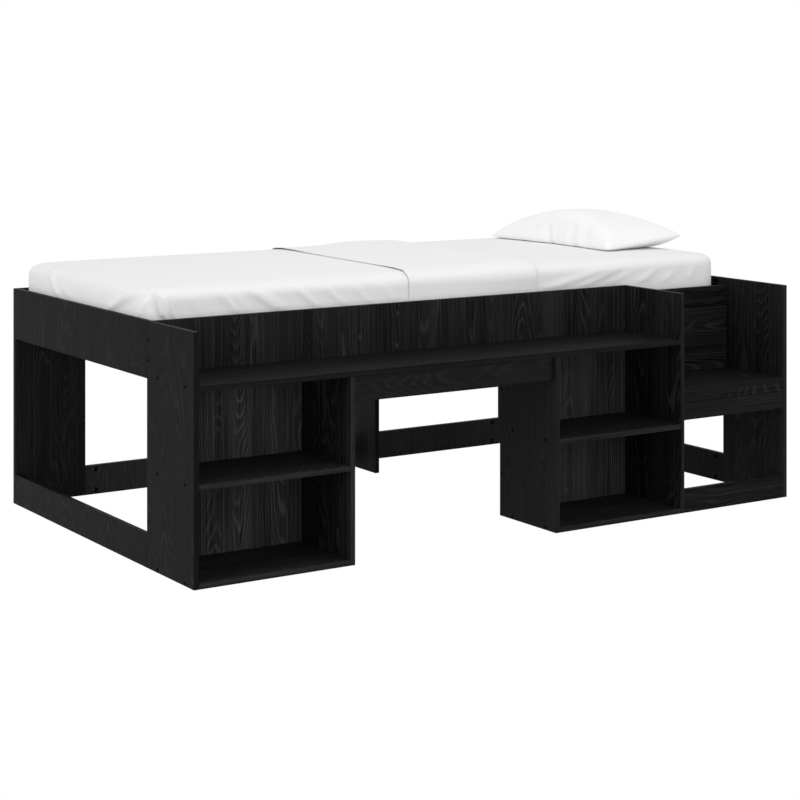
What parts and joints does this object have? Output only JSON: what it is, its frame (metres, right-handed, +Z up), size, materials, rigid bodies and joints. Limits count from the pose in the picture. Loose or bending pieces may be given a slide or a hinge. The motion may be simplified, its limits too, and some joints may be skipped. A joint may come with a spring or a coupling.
{
  "type": "cabin bed",
  "caption": "Low high-sleeper bed frame of black pine boards, with open cubbies, a desk gap and a seat along its front, with mattress, sheets and pillow.",
  "frame": {"origin": "floor level, in the middle of the bed's length and depth", "axes": "+Z up, +X towards the head end with the pillow, -Y towards the front with the cubbies"},
  "size_m": [2.036, 1.206, 0.8478],
  "materials": {
    "black_stained_pine": "solid pine boards, stained and lacquered black, satin, with the grain in relief",
    "bare_pine": "planed pine, not lacquered",
    "strap_webbing": "woven webbing",
    "black_screw": "blackened steel",
    "cast_cam": "cast zinc, dull",
    "bright_steel": "zinc plated",
    "mattress_ticking": "knitted ticking",
    "white_cotton": "plain woven white cotton, matt",
    "pillow_cotton": "plain woven white cotton, matt"
  },
  "bodies": {
    "frame": {"foot_post": "black_stained_pine", "foot_top_board": "black_stained_pine", "foot_bottom_rail": "black_stained_pine", "head_post": "black_stained_pine", "head_top_board": "black_stained_pine", "head_bottom_rail": "black_stained_pine", "back_leg_left": "black_stained_pine", "back_leg_right": "black_stained_pine", "back_top_rail": "black_stained_pine", "back_bottom_rail": "black_stained_pine", "middle_leg": "black_stained_pine", "front_side_rail": "black_stained_pine", "head_side_rail": "black_stained_pine", "tall_panel": "black_stained_pine", "top_shelf": "black_stained_pine", "desk_apron": "black_stained_pine", "left_unit_divider": "black_stained_pine", "left_unit_back": "black_stained_pine", "left_unit_middle_shelf": "black_stained_pine", "left_unit_bottom": "black_stained_pine", "right_unit_side": "black_stained_pine", "right_unit_back": "black_stained_pine", "right_unit_middle_shelf": "black_stained_pine", "right_unit_bottom": "black_stained_pine", "seat_board": "black_stained_pine", "seat_apron": "black_stained_pine", "seat_bottom_rail": "black_stained_pine", "slat_bearer_front": "bare_pine", "slat_bearer_back": "bare_pine", "slat_01": "bare_pine", "slat_02": "bare_pine", "slat_03": "bare_pine", "slat_04": "bare_pine", "slat_05": "bare_pine", "slat_06": "bare_pine", "slat_07": "bare_pine", "slat_08": "bare_pine", "slat_09": "bare_pine", "slat_10": "bare_pine", "slat_11": "bare_pine", "slat_12": "bare_pine", "slat_13": "bare_pine", "slat_14": "bare_pine", "slat_webbing": "strap_webbing", "panel_screws": "black_screw", "cam_locks": "cast_cam", "cam_bolts": "bright_steel", "dowels": "bare_pine"},
    "mattress_set": {"mattress": "mattress_ticking", "fitted_sheet": "white_cotton", "top_sheet": "white_cotton"},
    "pillow_body": {"pillow": "pillow_cotton"}
  },
  "joints": [
    {"name": "mattress_lift", "type": "slide", "parent": "frame", "child": "mattress_set", "axis": [0, 0, 1], "range_m": [0, 0.15]},
    {"name": "pillow_lift", "type": "slide", "parent": "mattress_set", "child": "pillow_body", "axis": [0, 0, 1], "range_m": [0, 0.1]}
  ]
}
